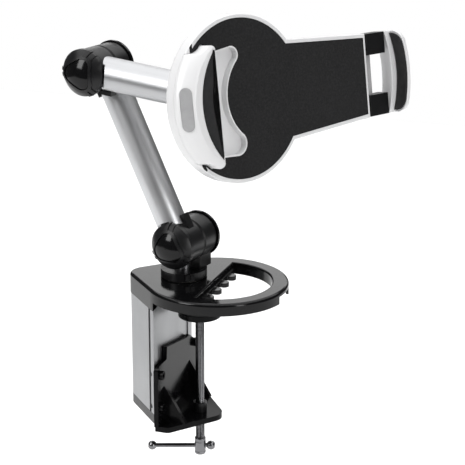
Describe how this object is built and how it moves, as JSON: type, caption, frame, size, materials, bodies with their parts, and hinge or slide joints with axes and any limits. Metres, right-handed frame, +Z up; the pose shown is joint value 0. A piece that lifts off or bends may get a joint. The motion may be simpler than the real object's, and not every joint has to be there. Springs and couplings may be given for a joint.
{
  "type": "desk clamp arm with tablet holder",
  "caption": "Desk clamp with a D-shaped ring shelf, a swivelling two-joint tube arm and a round tablet holder with a spring-loaded sliding jaw.",
  "frame": {"origin": "on the clamp screw's axis, on the underside of the upper jaw pad, where the clamp rests on the desk", "axes": "+Z up, +X from the clamp's column over the desk, +Y across"},
  "size_m": [0.2696, 0.2216, 0.4052],
  "materials": {
    "black_gloss": "high gloss black",
    "black_satin": "satin black moulded",
    "white_gloss": "gloss white",
    "grey_soft": "soft grey",
    "foam_black": "closed-cell foam, matt",
    "rubber_black": "matt",
    "aluminium": "satin anodised",
    "chrome": "bright",
    "steel": "zinc plated",
    "black_metal": "gloss black powder coat",
    "nylon": "natural nylon"
  },
  "bodies": {
    "clamp": {"top_plate": "black_gloss", "cable_comb": "black_gloss", "column": "aluminium", "column_trim": "black_satin", "column_end_cap": "black_satin", "tie_screws": "steel", "upper_jaw_plate": "black_metal", "upper_jaw_pad": "rubber_black", "swivel_bolt": "steel", "swivel_washer": "nylon", "lower_jaw": "black_metal", "jaw_nut": "black_satin", "jaw_screws": "black_metal"},
    "pressure_pad": {"pressure_pad": "black_metal", "pressure_pad_face": "rubber_black"},
    "screw": {"clamp_screw": "chrome", "tip_ring": "steel"},
    "tommy": {"tommy_bar": "chrome", "tommy_balls": "chrome"},
    "neck": {"neck_hub": "black_satin", "neck_shells": "black_satin", "lower_washer": "nylon", "lower_bolt": "steel", "lower_far_cap": "black_gloss"},
    "lower_knob": {"lower_knob": "black_satin", "lower_knob_nut": "steel", "lower_knob_cap": "black_gloss"},
    "lower_arm": {"lower_tube_hub": "black_satin", "lower_tube": "aluminium", "elbow_far_hub": "black_satin", "elbow_washer": "nylon", "elbow_bolt": "steel", "elbow_far_cap": "black_gloss"},
    "elbow_knob": {"elbow_knob": "black_satin", "elbow_knob_nut": "steel", "elbow_knob_cap": "black_gloss"},
    "upper_arm": {"elbow_near_hub": "black_satin", "upper_tube": "aluminium", "ball_stud": "steel"},
    "ball_cup": {"ball_liner": "nylon"},
    "ball_ring": {"lock_ring": "black_satin"},
    "holder": {"ball_socket": "black_satin", "socket_screws": "steel", "back_shell": "white_gloss", "front_frame": "white_gloss", "holder_screws": "steel", "foam_pad": "foam_black", "left_jaw": "white_gloss", "left_jaw_pad": "rubber_black", "jaw_grip": "grey_soft", "spring_anchors": "steel", "slider_springs": "steel"},
    "slider": {"slider_arms": "black_satin", "slider_bar": "grey_soft", "right_jaw": "white_gloss", "right_jaw_pad": "rubber_black"}
  },
  "joints": [
    {"name": "neck_swivel", "type": "hinge", "parent": "clamp", "child": "neck", "pos_m": [-0.0145, 0, 0.016], "axis": [0, 0, 1], "continuous": true},
    {"name": "lower_tilt", "type": "hinge", "parent": "neck", "child": "lower_arm", "pos_m": [-0.012, 0, 0.0453], "axis": [0.1822, 0.9833, 0], "range_deg": [-50, 35]},
    {"name": "lower_knob_turn", "type": "hinge", "parent": "neck", "child": "lower_knob", "pos_m": [-0.01601, -0.02163, 0.0453], "axis": [0.1822, 0.9833, 0], "continuous": true},
    {"name": "elbow_tilt", "type": "hinge", "parent": "lower_arm", "child": "upper_arm", "pos_m": [-0.08698, -0.00644, 0.19082], "axis": [0.1822, 0.9833, 0], "range_deg": [-60, 2]},
    {"name": "elbow_knob_turn", "type": "hinge", "parent": "lower_arm", "child": "elbow_knob", "pos_m": [-0.09099, -0.02807, 0.19082], "axis": [0.1822, 0.9833, 0], "continuous": true},
    {"name": "ball_pan", "type": "hinge", "parent": "upper_arm", "child": "ball_cup", "pos_m": [0.03171, -0.03861, 0.18052], "axis": [0, 0, 1], "range_deg": [-8, 47]},
    {"name": "ball_tilt", "type": "hinge", "parent": "ball_cup", "child": "ball_ring", "pos_m": [0.03171, -0.03861, 0.18052], "axis": [0.5, 0.866, 0], "range_deg": [-2, 28]},
    {"name": "ball_roll", "type": "hinge", "parent": "ball_ring", "child": "holder", "pos_m": [0.03171, -0.03861, 0.18052], "axis": [0.857, -0.4948, 0.1444], "continuous": true},
    {"name": "slider_pull", "type": "slide", "parent": "holder", "child": "slider", "axis": [0.5, 0.866, 0], "range_m": [0, 0.045], "stiffness_N_per_m": 120, "springref_m": -0.05},
    {"name": "pad_feed", "type": "slide", "parent": "clamp", "child": "pressure_pad", "axis": [0, 0, 1], "range_m": [-0.078, 0.0145]},
    {"name": "screw_turn", "type": "hinge", "parent": "pressure_pad", "child": "screw", "pos_m": [0, 0, -0.1], "axis": [0, 0, 1], "continuous": true},
    {"name": "bar_slide", "type": "slide", "parent": "screw", "child": "tommy", "axis": [0.9415, 0.3371, 0], "range_m": [0, 0.0335]}
  ]
}
